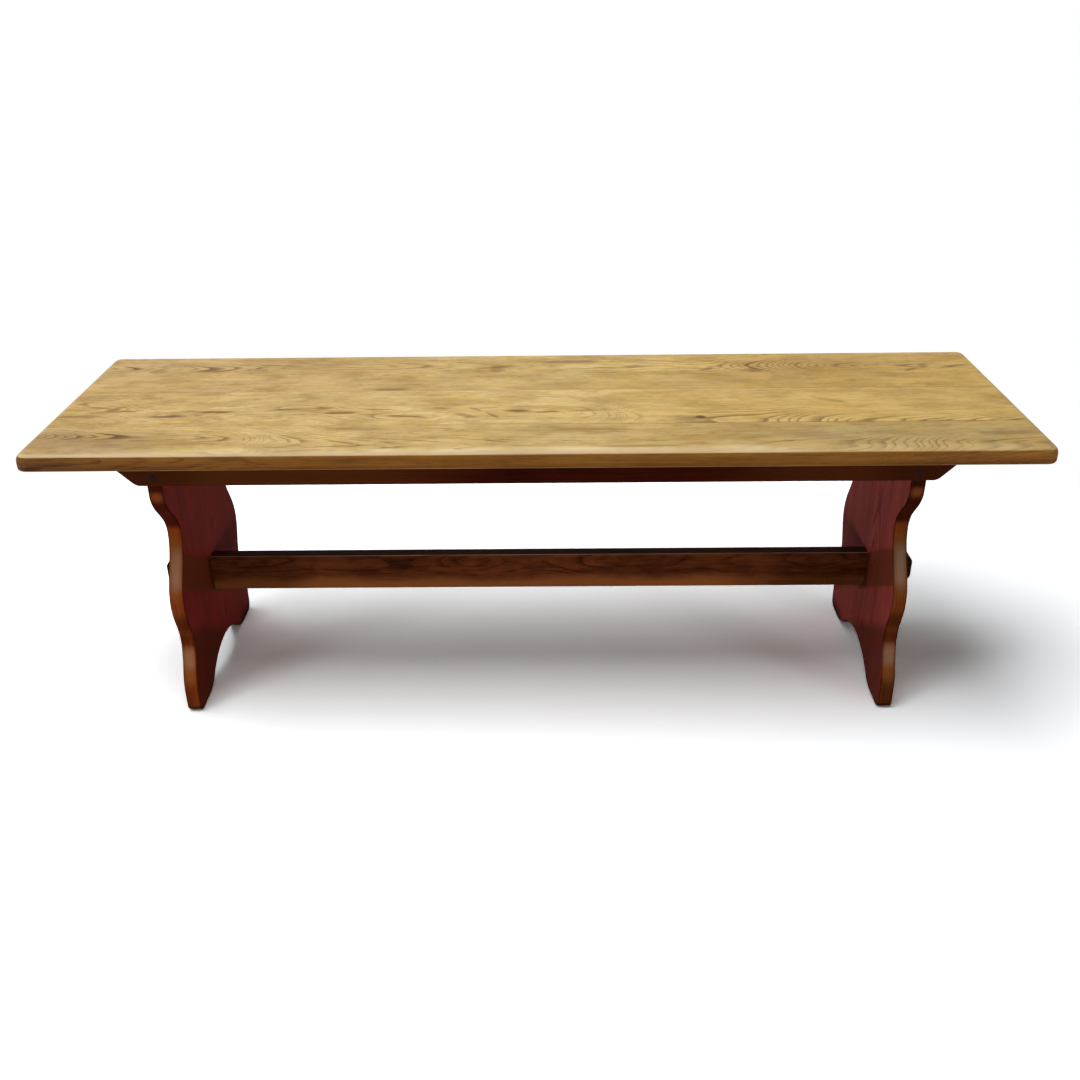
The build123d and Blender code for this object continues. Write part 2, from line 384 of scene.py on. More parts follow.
def oakSurface(tree, shader, grain, colour, finish):
    # gloss that drops in the pores, and pores that can be felt
    tree.links.new(colour, shader.inputs["Base Color"])
    dull = plusShare(tree, finish["roughness"], grain["Pores"], finish["poreDulling"])
    dull = plusShare(tree, dull, grain["Streaks"], finish["unevenness"])
    tree.links.new(dull, shader.inputs["Roughness"])
    shader.inputs["Specular IOR Level"].default_value = finish["specular"]
    depth = plusShare(tree, grain["Pores"], grain["Band"], oakRings["bandFeel"])
    feltAs(tree, shader, less(tree, 1.0, depth), finish["feel"], finish["poreDepth"])


blotchNoise = {"Scale": 1.0, "Detail": 3.0, "Roughness": 0.6}  # behind all the soft patches


def blotches(tree, coordinates, seed, kind):
    # soft patches of wear or colour, of their own size in each direction
    scaled = scaledBy(tree, coordinates["Object"], kind["perMetre"])
    inputs = {"Vector": scaled, "W": seed + kind["seedShift"], **blotchNoise}
    noise = addNode(tree, "TexNoise", inputs, noise_dimensions="4D").outputs["Fac"]
    return ease(tree, noise, *kind["edge"])


def finishNode(name, material):
    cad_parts[name].material_slots[0].material = material


# Top boards: honey-coloured oak, each from its own plank

topLook = {
    "finish": {
        "roughness": 0.42, "unevenness": 0.1, "poreDulling": 0.25,
        "specular": 0.12, "feel": 0.6, "poreDepth": 0.0002,
    },
    "flat": {
        "light": paint(230, 201, 140), "deep": paint(212, 181, 118),
        "band": paint(98, 66, 14), "pore": paint(104, 74, 22),
        "bandStrength": 1.0, "ringTone": 0.35, "rayStrength": 0.5, "poreStrength": 0.5,
    },
    "rim": {
        "light": paint(162, 109, 43), "deep": paint(122, 77, 27),
        "band": paint(76, 40, 12), "pore": paint(52, 24, 8),
        "bandStrength": 0.8, "ringTone": 0.4, "rayStrength": 0.3, "poreStrength": 0.5,
    },
    "calmMargin": 0.05,

    # tones from the left-hand end to the right
    "leftToMiddle": (-0.35, -0.05),
    "middleToRight": (0.05, 0.35),
    "far": (-0.2, 0.55),
    "farTint": (1.0, 0.96, 0.80),

    # blotches all over the flat
    "golden": {"perMetre": (15.0, 24.0, 24.0), "seedShift": 3.0, "edge": (0.40, 0.60),
               "tint": (1.0, 0.965, 0.80), "strength": 0.8},
    "dull": {"perMetre": (9.0, 18.0, 18.0), "seedShift": 0.0, "edge": (0.40, 0.60),
             "tint": (0.80, 0.76, 0.68), "strength": 0.7},
    "mottled": {"perMetre": (15.0, 40.0, 40.0), "seedShift": 9.0, "edge": (0.44, 0.62),
                "tint": (0.77, 0.72, 0.60), "strength": 0.8},
    "specked": {"perMetre": (60.0, 110.0, 110.0), "seedShift": 5.0, "edge": (0.45, 0.7),
                "tint": (0.80, 0.76, 0.68), "strength": 0.6},

    # single patches, and short dark flames along the grain
    "patchCover": 0.5,
    "patchStraying": 0.5,
    "patchEdge": (0.3, 1.4),
    "strokeTint": (0.34, 0.26, 0.14),
    "strokeRagged": 0.7,
    "strokeEdge": (0.6, 1.5),

    # worn pale along the front, with a painted highlight there, most in the middle
    "paleWearAndHighlight": paint(250, 226, 178),
    "paleEdge": (-0.173, -0.162),
    "paleMiddle": (-0.30, -0.05, 0.20, 0.40),
    "paleStrengths": (0.25, 0.65),
    "paleStart": (-0.58, -0.46),
    "paleDulling": 0.5,

    # the fine dark lines between the boards, from left to right
    "seam": paint(104, 70, 32),
    "seamWidth": 0.0012,
    "seamRun": (-0.3, 0.4),
    "seamStrengths": (0.3, 0.75),

    # the rim: its lower half darker with painted shade, and its left-hand corner darker
    "rimToFlat": (0.56, 0.70),
    "lowerDepths": (0.019, 0.013),
    "lowerShadeTint": (0.74, 0.66, 0.66),
    "leftCorner": (-0.60, -0.42),
    "leftTint": (0.62, 0.60, 0.60),

    # the rounding above it, rubbed pale and carrying a painted highlight
    "arrisWearAndHighlight": paint(216, 190, 152),
    "arrisTurn": (0.58, 0.70, 0.80, 0.94),
    "arrisStrength": 0.9,
    "arrisDulling": 0.3,
    "arrisFading": (0.0, 0.50, 1.0, 0.15),

    "undersideTurn": (-0.8, -0.3),
    "undersideTint": (0.55, 0.46, 0.36),
}


def belowTop(stations):
    # stations along a board, with depths below the top's surface turned into heights
    return [(place, topSurface - depth) for place, depth in stations]


# along a board: (place, value); calm: (from, to, how far the bands fade);
# strokes: (x, y, reach, half height, slope, strength)
topBoards = {
    "top_board_front": {
        "pithAcross": [(-0.61, -0.122), (-0.46, -0.128), (-0.35, -0.137), (-0.19, -0.157),
                       (0.10, -0.165), (0.35, -0.164), (0.61, -0.166)],
        "pithHeight": belowTop([(-0.61, 0.010), (-0.52, 0.026), (-0.45, 0.030), (-0.37, 0.032),
                                (-0.31, 0.046), (-0.18, 0.056), (0.10, 0.060), (0.34, 0.056),
                                (0.42, 0.048), (0.53, 0.028), (0.61, 0.024)]),
        "ringWidth": 0.0023,
        "wander": 0.005,
        "seed": 2.0,
        "gaps": [(-0.61, 0.7), (-0.30, 0.8), (0.0, 1.0), (0.30, 0.7), (0.61, 0.6)],
        "tints": [(1.04, 1.04, 1.05), (1.0, 1.0, 1.0), (1.02, 1.01, 1.0)],
        "calm": [(-0.38, -0.24, 0.35), (-0.02, 0.30, 0.6), (0.32, 0.61, 0.25)],
        "strokes": [
            (0.12, -0.166, 0.040, 0.003, 0.0, 0.5), (0.04, -0.111, 0.060, 0.012, 0.0, 0.25),
            (0.57, -0.134, 0.040, 0.007, 0.0, 0.45), (-0.40, -0.150, 0.030, 0.004, 0.0, 0.3),
            (-0.22, -0.105, 0.040, 0.006, 0.0, 0.35),
        ],
        "patches": [
            {"place": (0.42, -0.13), "reach": (0.30, 0.06), "colour": paint(150, 130, 88),
             "strength": 0.75},
            {"place": (-0.56, -0.14), "reach": (0.17, 0.06), "colour": paint(108, 72, 50),
             "strength": 0.95},
        ],
    },
    "top_board_middle": {
        "pithAcross": [(-0.61, -0.015), (-0.56, -0.017), (-0.45, -0.057), (-0.40, -0.047),
                       (-0.30, -0.031), (-0.24, -0.055), (-0.15, -0.066), (-0.08, -0.058),
                       (0.02, -0.055), (0.12, -0.072), (0.22, -0.086), (0.42, -0.093),
                       (0.61, -0.103)],
        "pithHeight": belowTop([(-0.61, 0.034), (-0.56, 0.030), (-0.50, 0.034), (-0.45, 0.030),
                                (-0.36, 0.035), (-0.30, 0.031), (-0.24, 0.035), (-0.15, 0.030),
                                (-0.08, 0.034), (0.02, 0.030), (0.10, 0.052), (0.17, 0.066),
                                (0.24, 0.062), (0.43, 0.036), (0.50, 0.029), (0.61, 0.020)]),
        "ringWidth": 0.0029,
        "wander": 0.014,
        "seed": 7.0,
        "gaps": [(-0.61, 1.0), (0.12, 1.0), (0.22, 0.1), (0.61, 0.2)],
        "tints": [(0.97, 0.95, 0.94), (1.13, 1.15, 1.16), (1.17, 1.16, 1.10)],
        "calm": [(-0.61, 0.19, 0.75)],
        "strokes": [
            (-0.538, -0.034, 0.010, 0.007, 0.5, 0.8), (-0.525, -0.040, 0.030, 0.003, 0.1, 0.7),
            (-0.555, -0.028, 0.022, 0.003, -0.1, 0.5), (-0.580, -0.058, 0.028, 0.003, 0.0, 0.5),
            (-0.460, -0.059, 0.022, 0.004, 0.1, 0.8), (-0.404, -0.046, 0.022, 0.0035, 0.0, 0.9),
            (-0.440, -0.041, 0.018, 0.003, 0.1, 0.5), (-0.318, -0.038, 0.030, 0.0035, 0.1, 0.7),
            (-0.270, -0.034, 0.016, 0.004, 0.0, 0.6), (-0.247, -0.051, 0.018, 0.004, 0.0, 0.9),
            (-0.199, -0.041, 0.018, 0.003, 0.0, 0.6), (-0.158, -0.066, 0.024, 0.003, -0.1, 0.9),
            (-0.122, -0.037, 0.012, 0.003, 0.0, 0.6), (-0.088, -0.062, 0.012, 0.005, -0.5, 0.6),
            (-0.074, -0.044, 0.009, 0.003, -0.7, 0.6), (-0.055, -0.061, 0.010, 0.003, -1.2, 0.6),
            (-0.022, -0.049, 0.018, 0.004, 0.0, 1.0), (0.016, -0.053, 0.014, 0.003, 0.1, 0.8),
            (0.060, -0.050, 0.018, 0.003, 0.0, 0.4), (0.205, -0.074, 0.006, 0.005, 0.0, 1.0),
            (0.375, -0.018, 0.022, 0.006, -0.5, 0.4),
        ],
        "patches": [
            {"place": (0.45, -0.03), "reach": (0.40, 0.10), "colour": paint(204, 164, 88),
             "strength": 0.5},
        ],
    },
    "top_board_back": {
        "pithAcross": [(-0.61, 0.124), (-0.20, 0.128), (0.20, 0.120), (0.45, 0.115), (0.61, 0.104)],
        "pithHeight": belowTop([(-0.61, 0.022), (-0.44, 0.036), (-0.10, 0.050), (0.20, 0.058),
                                (0.28, 0.052), (0.44, 0.022), (0.61, 0.014)]),
        "ringWidth": 0.0022,
        "wander": 0.008,
        "seed": 13.0,
        "gaps": [(-0.61, 0.8), (0.10, 1.0), (0.30, 0.3), (0.61, 0.5)],
        "tints": [(0.92, 0.88, 0.89), (1.04, 1.04, 1.0), (1.10, 1.06, 0.92)],
        "calm": [(-0.36, 0.06, 0.6)],
        "strokes": [
            (-0.526, 0.113, 0.010, 0.006, 0.0, 0.5), (-0.448, 0.116, 0.014, 0.005, 0.0, 0.6),
            (-0.193, 0.033, 0.018, 0.004, 0.0, 0.6), (-0.055, 0.111, 0.010, 0.009, 0.0, 0.4),
            (0.052, 0.143, 0.034, 0.004, 0.0, 0.6), (0.236, 0.108, 0.012, 0.006, 0.6, 0.6),
            (0.299, 0.103, 0.008, 0.010, 0.0, 0.5), (0.512, 0.098, 0.012, 0.005, 0.6, 0.7),
            (0.532, 0.112, 0.007, 0.009, 0.4, 0.6), (0.570, 0.108, 0.022, 0.005, 0.4, 0.5),
        ],
        "patches": [
            {"place": (0.40, 0.10), "reach": (0.15, 0.07), "colour": paint(146, 106, 44),
             "strength": 0.75},
            {"place": (0.20, 0.05), "reach": (0.30, 0.05), "colour": paint(170, 134, 74),
             "strength": 0.5},
        ],
    },
}


def patchMask(tree, spot, patch, strayed):
    # a soft oval on the top, with an uneven edge
    x, y = patch["place"]
    distance = ovalDistance(tree, less(tree, spot["X"], x), less(tree, spot["Y"], y), patch["reach"])
    distance = plusShare(tree, distance, strayed, topLook["patchStraying"])
    return product(tree, fade(tree, distance, *topLook["patchEdge"]), patch["strength"])


def strokeMask(tree, grain, look, spot):
    # the short dark strokes, with ragged outlines
    raggedness = topLook["strokeRagged"]
    ragged = plusShare(tree, -raggedness / 2, grain["Streaks"], raggedness)
    masks = []
    for x, y, reach, height, slope, strength in look["strokes"]:
        fromX = less(tree, spot["X"], x)
        fromY = plusShare(tree, less(tree, spot["Y"], y), fromX, -slope)
        distance = ovalDistance(tree, fromX, fromY, (reach, height))
        distance = maths(tree, "ADD", distance, ragged)
        masks.append(fade(tree, distance, *topLook["strokeEdge"], strength))
    return strongest(tree, *masks)


def seamMask(tree, spot, name):
    # the fine dark line where this board meets the next
    lines = []
    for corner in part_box(name):
        if abs(corner.y) < benchHigh.y - tiny:
            gap = unsigned(tree, less(tree, spot["Y"], corner.y))
            lines.append(fade(tree, gap, 0.0, topLook["seamWidth"]))
    run = ease(tree, spot["X"], *topLook["seamRun"], *topLook["seamStrengths"])
    return product(tree, strongest(tree, *lines), run)


def paleAndHighlightMask(tree, spot, dull):
    # a worn pale strip along the front, with a painted highlight, most in the middle
    front = fade(tree, spot["Y"], *topLook["paleEdge"])
    inMiddle = between(tree, spot["X"], *topLook["paleMiddle"])
    strength = ease(tree, inMiddle, 0.0, 1.0, *topLook["paleStrengths"])
    start = ease(tree, spot["X"], *topLook["paleStart"])
    return product(tree, front, strength, start, plusShare(tree, 1.0, dull, -topLook["paleDulling"]))


def calmed(tree, grain, look, spot):
    # the same grain, with its ring bands fading along the calm stretches of the board
    margin = topLook["calmMargin"]
    parts = {name: grain[name] for name in oakOutputs}
    for start, end, strength in look["calm"]:
        calm = between(tree, spot["X"], start - margin, start + margin, end - margin, end + margin)
        parts["Band"] = product(tree, parts["Band"], plusShare(tree, 1.0, calm, -strength))
    return parts


def topFlat(tree, grain, look, coordinates, spot, dull, name):
    # the flat of the top: blotches over the oak, then patches, wear with a painted highlight, strokes
    # and seams
    left, middle, right = look["tints"]
    tint = mixColour(tree, ease(tree, spot["X"], *topLook["leftToMiddle"]), left, middle)
    tint = mixColour(tree, ease(tree, spot["X"], *topLook["middleToRight"]), tint, right)
    flat = tinted(tree, 1.0, oakColour(tree, grain, topLook["flat"]), tint)
    for kind in ("golden", "dull", "mottled", "specked"):
        wear = topLook[kind]
        mask = dull if kind == "dull" else blotches(tree, coordinates, look["seed"], wear)
        flat = tinted(tree, product(tree, mask, wear["strength"]), flat, wear["tint"])
    flat = tinted(tree, ease(tree, spot["X"], *topLook["far"]), flat, topLook["farTint"])
    for patch in look["patches"]:
        mask = patchMask(tree, spot, patch, dull)
        flat = washed(tree, mask, flat, patch["colour"], topLook["patchCover"])
    flat = mixColour(tree, paleAndHighlightMask(tree, spot, dull), flat, topLook["paleWearAndHighlight"])
    flat = tinted(tree, strokeMask(tree, grain, look, spot), flat, topLook["strokeTint"])
    return mixColour(tree, seamMask(tree, spot, name), flat, topLook["seam"])


def topRim(tree, grain, spot):
    rim = oakColour(tree, grain, topLook["rim"])
    heights = [topSurface - depth for depth in topLook["lowerDepths"]]
    # painted shade on the rim's lower half
    rim = tinted(tree, fade(tree, spot["Z"], *heights), rim, topLook["lowerShadeTint"])
    return tinted(tree, fade(tree, spot["X"], *topLook["leftCorner"]), rim, topLook["leftTint"])


def topMaterial(name, look):
    material, tree, shader = newMaterial(name + "_oak")
    coordinates, spot, facing = placeAndFacing(tree)
    grain = calmed(tree, grainOf(tree, look, coordinates), look, spot)
    dull = blotches(tree, coordinates, look["seed"], topLook["dull"])
    flat = topFlat(tree, grain, look, coordinates, spot, dull, name)
    upward = ease(tree, facing["Z"], *topLook["rimToFlat"])
    colour = mixColour(tree, upward, topRim(tree, grain, spot), flat)
    # painted highlight and wear along the front arris, fading towards the right
    rounding = between(tree, facing["Z"], *topLook["arrisTurn"])
    fading = ease(tree, spot["X"], *topLook["arrisFading"])
    rubbedAndLit = plusShare(tree, topLook["arrisStrength"], dull, -topLook["arrisDulling"])
    colour = mixColour(tree, product(tree, rounding, fading, rubbedAndLit), colour, topLook["arrisWearAndHighlight"])
    underside = tinted(tree, 1.0, flat, topLook["undersideTint"])
    colour = mixColour(tree, fade(tree, facing["Z"], *topLook["undersideTurn"]), colour, underside)
    oakSurface(tree, shader, grain, colour, topLook["finish"])
    return material


for name, look in topBoards.items():
    finishNode(name, topMaterial(name, look))
print("top boards finished")


# Stained oak underneath: one finish for all of it

stainedFinish = {
    "roughness": 0.55, "unevenness": 0.1, "poreDulling": 0.2,
    "specular": 0.025, "feel": 0.5, "poreDepth": 0.0002,
}


# End panels: red-brown stain on the faces, sawn edges worn to orange brown, with painted highlights
# and painted shade

panelLook = {
    "outer": {
        "light": paint(118, 54, 30), "deep": paint(90, 36, 19),
        "band": paint(58, 20, 10), "pore": paint(36, 12, 7),
        "bandStrength": 0.6, "ringTone": 0.35, "rayStrength": 0.2, "poreStrength": 0.5,
    },
    "edge": {
        "light": paint(146, 68, 24), "deep": paint(116, 49, 17),
        "band": paint(74, 28, 8), "pore": paint(50, 20, 7),
        "bandStrength": 0.6, "ringTone": 0.4, "rayStrength": 0.2, "poreStrength": 0.5,
    },
    "straying": {"perMetre": (20.0, 20.0, 12.0), "seedShift": 0.0, "edge": (0.35, 0.65)},

    # the inner face, with a brown band and darker legs whose edges climb towards the front, and
    # painted shade at the joint and on the heel
    "innerTurn": (0.5, 0.9),
    "slant": 0.58,
    "stainStraying": 0.004,
    "brown": paint(92, 48, 16),       # in line with the stretcher
    "brownHeight": 0.138,
    "brownEdge": (0.024, 0.030),
    "brownStrength": 0.85,
    "brownCover": 0.8,
    "paintedShade": paint(38, 18, 8),        # painted shade round the joint, and on the heel
    "joint": (-0.030, -0.014, 0.0, 0.02),
    "jointStrength": 0.8,
    "dark": paint(70, 28, 12),        # the lower legs
    "darkEdge": (0.040, 0.064),
    "darkStrength": 0.9,
    "darkCover": 0.75,
    "heelPlace": (0.06, 0.10),
    "heelHeight": (0.004, 0.028),
    "heelStrength": 0.9,

    # the scrolled edge, its rubbing and painted highlights strongest in the middle of its thickness
    "middle": (0.002, 0.009, 1.0, 0.35),
    "foot": (0.042, 0.060),
    "ear": (0.294, 0.306),
    # painted shade over the ear
    "earShadeTint": (0.26, 0.16, 0.12),
    # a painted highlight on the ear's front
    "earHighlight": paint(150, 78, 32),
    "earHighlightHeights": (0.302, 0.312, 0.322, 0.330),
    "earHighlightStrength": 0.8,
    "shaded": paint(66, 15, 6),       # painted shade where it turns down, and in the hollow
    "shadedTurn": (-0.45, -0.08),
    "shadedStrength": 0.95,
    "hollow": (0.090, 0.099, 0.107, 0.120),
    "hollowStrength": 0.6,
    "golden": paint(144, 82, 36),     # a painted highlight where it turns up
    "upturnHighlightTurn": (0.0, 0.32),
    "upturnHighlightStrength": 0.7,
    "rubbedAndLit": paint(166, 120, 90),    # where it turns up most and catches hands and dust, with a painted highlight
    "rubbedAndLitPatches": (0.0, 0.8, 0.7, 1.0),
    "bulgeTurn": (0.26, 0.52),
    "bulgeFrom": (0.10, 0.14),
    "bulgeStrength": 0.9,
    "instep": (0.058, 0.072, 0.082, 0.098),
    "instepStrength": 0.7,

    # the edge's corners, and the toes
    "arrisTurn": (0.1, 0.5),
    "arrisTint": (0.45, 0.34, 0.28),  # the stain that stays there
    "faceTurn": (0.6, 0.9),
    # darker at the very bottom of each panel
    "toeDark": paint(48, 30, 20),
    "toeDarkEdge": (0.0, 0.020),
    "toeDarkStrength": 0.7,
    "toeDarkStraying": 0.01,
}

endPanels = {
    "end_panel_left": {
        "turn": (0, math.radians(90), 0),
        "pithAcross": 0.02, "pithHeight": 0.40,
        "ringWidth": 0.0026, "wander": 0.016, "gaps": 0.9, "seed": 45.0,
        "inner": {
            "light": paint(142, 45, 37), "deep": paint(114, 31, 25),
            "band": paint(74, 16, 12), "pore": paint(40, 10, 7),
            "bandStrength": 0.6, "ringTone": 0.35, "rayStrength": 0.2, "poreStrength": 0.5,
        },
        "inward": 1.0,
        "edgeTint": (1.0, 1.0, 1.0),
        "footTint": (0.80, 0.80, 0.90),
    },
    "end_panel_right": {
        "turn": (0, math.radians(90), 0),
        "pithAcross": -0.03, "pithHeight": -0.53,
        "ringWidth": 0.0026, "wander": 0.016, "gaps": 0.9, "seed": 51.0,
        "inner": {
            "light": paint(166, 74, 67), "deep": paint(138, 56, 50),
            "band": paint(86, 30, 26), "pore": paint(50, 18, 15),
            "bandStrength": 0.6, "ringTone": 0.35, "rayStrength": 0.2, "poreStrength": 0.5,
        },
        "inward": -1.0,
        "edgeTint": (0.78, 0.92, 1.0),
        "footTint": (0.58, 0.58, 0.62),
    },
}


def stainedAndShadedFace(tree, grain, look, spot, facing, strayed):
    # the inner face: redder than the outer, brown in line with the stretcher, dark on the legs, with
    # painted shade round the joint and on the heel
    wear = panelLook
    inner = ease(tree, product(tree, facing["X"], look["inward"]), *wear["innerTurn"])
    outerOak = oakColour(tree, grain, wear["outer"])
    face = mixColour(tree, inner, outerOak, oakColour(tree, grain, look["inner"]))
    height = plusShare(tree, spot["Z"], spot["Y"], wear["slant"])
    height = plusShare(tree, height, strayed, wear["stainStraying"])

    fromJoint = unsigned(tree, less(tree, height, wear["brownHeight"]))
    brown = fade(tree, fromJoint, *wear["brownEdge"], wear["brownStrength"])
    face = washed(tree, product(tree, brown, inner), face, wear["brown"], wear["brownCover"])
    # painted shadow round the stretcher's joint
    joint = between(tree, spot["Y"], *wear["joint"])
    joint = product(tree, brown, joint, inner, wear["jointStrength"])
    face = mixColour(tree, joint, face, wear["paintedShade"])

    dark = fade(tree, height, *wear["darkEdge"], wear["darkStrength"])
    face = washed(tree, product(tree, dark, inner), face, wear["dark"], wear["darkCover"])
    # painted shade on the heel of the back foot
    heel = product(tree, ease(tree, spot["Y"], *wear["heelPlace"]),
                   fade(tree, spot["Z"], *wear["heelHeight"], wear["heelStrength"]))
    return mixColour(tree, product(tree, heel, inner), face, wear["paintedShade"])


def edgeWearAndPaintedLight(tree, grain, look, name, spot, facing, strayed):
    # the scrolled edge: painted shade where it turns down and over the ear, painted highlights with
    # some rubbing where it turns up
    wear = panelLook
    edge = oakColour(tree, grain, wear["edge"])
    low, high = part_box(name)
    aside = unsigned(tree, less(tree, spot["X"], (low.x + high.x) / 2))
    middle = ease(tree, aside, *wear["middle"])
    edge = tinted(tree, fade(tree, spot["Z"], *wear["foot"]), edge, look["footTint"])
    # painted shade over the ear
    edge = tinted(tree, ease(tree, spot["Z"], *wear["ear"]), edge, wear["earShadeTint"])
    # a painted highlight on the ear's front
    earHighlight = between(tree, spot["Z"], *wear["earHighlightHeights"])
    earHighlight = product(tree, earHighlight, middle, wear["earHighlightStrength"])
    edge = mixColour(tree, earHighlight, edge, wear["earHighlight"])

    # painted shade where the edge turns down, and in the hollow
    shaded = fade(tree, facing["Z"], *wear["shadedTurn"], wear["shadedStrength"])
    edge = mixColour(tree, shaded, edge, wear["shaded"])
    hollow = product(tree, between(tree, spot["Z"], *wear["hollow"]), wear["hollowStrength"])
    edge = mixColour(tree, hollow, edge, wear["shaded"])
    # painted highlights where the edge turns up, most on the bulge and instep, with patches of
    # rubbing
    golden = ease(tree, facing["Z"], *wear["upturnHighlightTurn"])
    golden = product(tree, golden, middle, wear["upturnHighlightStrength"])
    edge = mixColour(tree, golden, edge, wear["golden"])

    bulge = product(tree, ease(tree, facing["Z"], *wear["bulgeTurn"]),
                    ease(tree, spot["Z"], *wear["bulgeFrom"]), wear["bulgeStrength"])
    instep = product(tree, between(tree, spot["Z"], *wear["instep"]), wear["instepStrength"])
    patchy = ease(tree, strayed, *wear["rubbedAndLitPatches"])
    rubbedAndLit = product(tree, strongest(tree, bulge, instep), middle, patchy)
    edge = mixColour(tree, rubbedAndLit, edge, wear["rubbedAndLit"])
    return tinted(tree, 1.0, edge, look["edgeTint"])


def panelMaterial(name, look):
    wear = panelLook
    material, tree, shader = newMaterial(name + "_oak")
    coordinates, spot, facing = placeAndFacing(tree)
    grain = grainOf(tree, look, coordinates)
    strayed = blotches(tree, coordinates, look["seed"], wear["straying"])
    face = stainedAndShadedFace(tree, grain, look, spot, facing, strayed)
    edge = edgeWearAndPaintedLight(tree, grain, look, name, spot, facing, strayed)
    sideways = unsigned(tree, facing["X"])
    edge = tinted(tree, ease(tree, sideways, *wear["arrisTurn"]), edge, wear["arrisTint"])
    colour = mixColour(tree, ease(tree, sideways, *wear["faceTurn"]), edge, face)
    # darker at the very bottom of each panel
    toe = plusShare(tree, spot["Z"], strayed, wear["toeDarkStraying"])
    toeDarkMask = fade(tree, toe, *wear["toeDarkEdge"], wear["toeDarkStrength"])
    colour = mixColour(tree, toeDarkMask, colour, wear["toeDark"])
    oakSurface(tree, shader, grain, colour, stainedFinish)
    return material


for name, look in endPanels.items():
    finishNode(name, panelMaterial(name, look))
print("end panels finished")


# Aprons, keys, cleats and pegs: dark stain

stainedPieces = {
    "apron": {
        "nodes": ["apron_front", "apron_back"],
        "pithAcross": -0.10, "pithHeight": 0.30,
        "ringWidth": 0.0024, "wander": 0.01, "gaps": 0.9, "seed": 21.0,
        "stain": {
            "light": paint(74, 22, 8), "deep": paint(50, 11, 3),
            "band": paint(32, 6, 2), "pore": paint(18, 4, 1),
            "bandStrength": 0.7, "ringTone": 0.3, "rayStrength": 0.2, "poreStrength": 0.6,
        },
        "brown": paint(92, 48, 18),   # on the left, and towards the right
        "brownLeft": (-0.24, -0.02, 0.7, 0.0),
        "brownRight": (0.18, 0.34, 0.0, 0.5),
        "ends": (0.38, 0.45),
        "endTint": (0.70, 0.62, 0.55),
    },
    "key": {
        "nodes": ["key_left", "key_right"],
        "turn": (0, math.radians(90), 0),
        "pithAcross": 0.03, "pithHeight": 0.45,
        "ringWidth": 0.0020, "wander": 0.006, "gaps": 0.9, "seed": 61.0,
        "stain": {
            "light": paint(66, 36, 22), "deep": paint(48, 24, 14),
            "band": paint(30, 13, 7), "pore": paint(16, 7, 4),
            "bandStrength": 0.7, "ringTone": 0.3, "rayStrength": 0.2, "poreStrength": 0.6,
        },
    },
    "cleat": {
        "nodes": ["cleat_left", "cleat_right"],
        "turn": (0, 0, math.radians(90)),
        "pithAcross": 0.40, "pithHeight": 0.33,
        "ringWidth": 0.0024, "wander": 0.008, "gaps": 0.9, "seed": 67.0,
        "stain": {
            "light": paint(112, 62, 36), "deep": paint(84, 42, 22),
            "band": paint(52, 22, 10), "pore": paint(30, 10, 6),
            "bandStrength": 0.7, "ringTone": 0.3, "rayStrength": 0.2, "poreStrength": 0.6,
        },
    },
    "peg": {
        "nodes": ["apron_pegs"],
        "turn": (0, 0, math.radians(90)),
        "pithAcross": 0.45, "pithHeight": 0.34,
        "ringWidth": 0.0012, "wander": 0.002, "gaps": 0.9, "seed": 71.0,
        "stain": {
            "light": paint(70, 44, 34), "deep": paint(46, 26, 22),
            "band": paint(26, 14, 12), "pore": paint(12, 6, 5),
            "bandStrength": 0.7, "ringTone": 0.3, "rayStrength": 0.4, "poreStrength": 0.6,
        },
    },
}


def agedApron(tree, look, colour, spot):
    # browner on the left and towards the right, and darker at the very ends
    brown = strongest(tree, ease(tree, spot["X"], *look["brownLeft"]),
                      ease(tree, spot["X"], *look["brownRight"]))
    colour = mixColour(tree, brown, colour, look["brown"])
    ends = ease(tree, unsigned(tree, spot["X"]), *look["ends"])
    return tinted(tree, ends, colour, look["endTint"])


def stainedMaterial(name, look):
    material, tree, shader = newMaterial(name + "_oak")
    coordinates, spot, facing = placeAndFacing(tree)
    grain = grainOf(tree, look, coordinates)
    colour = oakColour(tree, grain, look["stain"])
    if name == "apron":
        colour = agedApron(tree, look, colour, spot)
    oakSurface(tree, shader, grain, colour, stainedFinish)
    return material


for name, look in stainedPieces.items():
    material = stainedMaterial(name, look)
    for node in look["nodes"]:
        finishNode(node, material)
print("aprons, keys, cleats and pegs finished")


# Stretcher: dark brown, browner towards its lower edge, with painted shade on its top face and a
# dusty upper arris with a painted highlight

